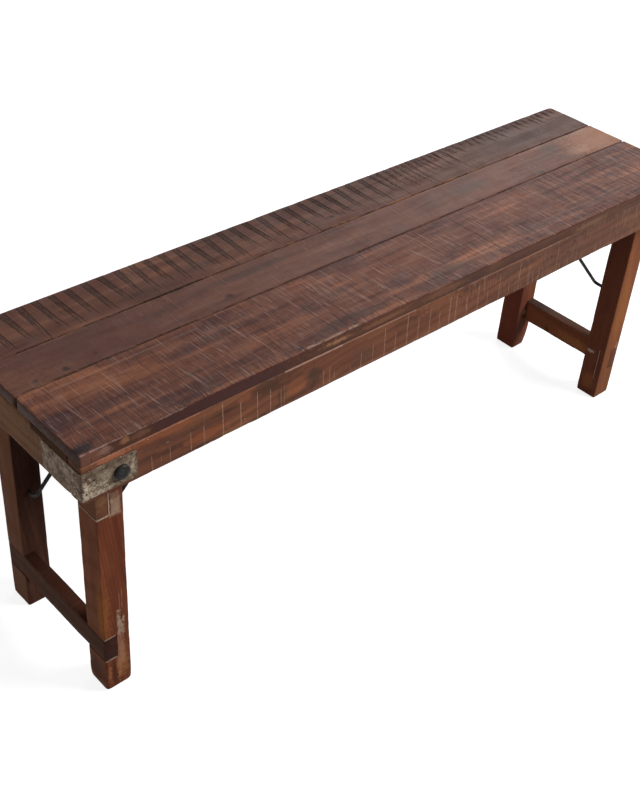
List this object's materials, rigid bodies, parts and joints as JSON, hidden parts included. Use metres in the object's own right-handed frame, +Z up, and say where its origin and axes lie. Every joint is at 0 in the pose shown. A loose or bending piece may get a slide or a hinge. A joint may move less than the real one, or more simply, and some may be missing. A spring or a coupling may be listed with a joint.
{
  "type": "folding bench",
  "caption": "Plank-topped wooden bench whose end leg frames fold in under the seat, each propped open by a bent iron rod with its crossbar under the planks.",
  "frame": {"origin": "on the floor under the middle of the bench", "axes": "+X along the bench, +Z up, the pictured front face towards -Y"},
  "size_m": [1.203, 0.3166, 0.465],
  "materials": {
    "wood_top": "dark reddish brown reclaimed hardwood, saw marked and waxed",
    "wood_rail": "dark orange brown reclaimed hardwood, scratched and waxed",
    "wood_leg": "dark reddish brown reclaimed hardwood, satin, with paint remnants",
    "wood_hidden": "rough sawn hardwood, unwaxed",
    "strap_iron": "sheet iron with a grey green and cream weathered coat",
    "black_iron": "blackened iron, satin"
  },
  "bodies": {
    "bench_top": {"plank_front": "wood_top", "plank_middle": "wood_top", "plank_rear": "wood_top", "side_rail_front": "wood_rail", "side_rail_rear": "wood_rail", "end_rail_left": "wood_rail", "end_rail_right": "wood_rail", "centre_batten": "wood_hidden", "rod_cleat_left": "wood_hidden", "rod_cleat_right": "wood_hidden", "rod_strip_left": "black_iron", "rod_strip_right": "black_iron", "strap_front_left": "strap_iron", "strap_rear_left": "strap_iron", "strap_front_right": "strap_iron", "strap_rear_right": "strap_iron", "pivot_bolt_front_left": "black_iron", "pivot_bolt_rear_left": "black_iron", "pivot_bolt_front_right": "black_iron", "pivot_bolt_rear_right": "black_iron", "leg_washer_front_left": "black_iron", "leg_washer_rear_left": "black_iron", "leg_washer_front_right": "black_iron", "leg_washer_rear_right": "black_iron", "nut_washer_front_left": "black_iron", "nut_washer_rear_left": "black_iron", "nut_washer_front_right": "black_iron", "nut_washer_rear_right": "black_iron", "pivot_nut_front_left": "black_iron", "pivot_nut_rear_left": "black_iron", "pivot_nut_front_right": "black_iron", "pivot_nut_rear_right": "black_iron"},
    "left_leg_frame": {"leg_front_left": "wood_leg", "leg_rear_left": "wood_leg", "leg_patch": "wood_leg", "stretcher_left": "wood_leg"},
    "right_leg_frame": {"leg_front_right": "wood_leg", "leg_rear_right": "wood_leg", "stretcher_right": "wood_leg"},
    "left_stay": {"stay_rod_left": "black_iron"},
    "right_stay": {"stay_rod_right": "black_iron"}
  },
  "joints": [
    {"name": "left_leg_fold", "type": "hinge", "parent": "bench_top", "child": "left_leg_frame", "pos_m": [-0.54585, 0, 0.4162], "axis": [0, -1, 0], "range_deg": [0, 90]},
    {"name": "right_leg_fold", "type": "hinge", "parent": "bench_top", "child": "right_leg_frame", "pos_m": [0.54585, 0, 0.4162], "axis": [0, 1, 0], "range_deg": [0, 90]},
    {"name": "left_stay_swing", "type": "hinge", "parent": "left_leg_frame", "child": "left_stay", "pos_m": [-0.54585, 0, 0.2162], "axis": [0, 1, 0], "range_deg": [0, 134.5]},
    {"name": "right_stay_swing", "type": "hinge", "parent": "right_leg_frame", "child": "right_stay", "pos_m": [0.54585, 0, 0.2162], "axis": [0, -1, 0], "range_deg": [0, 134.5]}
  ],
  "couplings": [
    {"joint": "left_stay_swing", "follows": "left_leg_fold", "ratio": 1.4944},
    {"joint": "right_stay_swing", "follows": "right_leg_fold", "ratio": 1.4944}
  ]
}
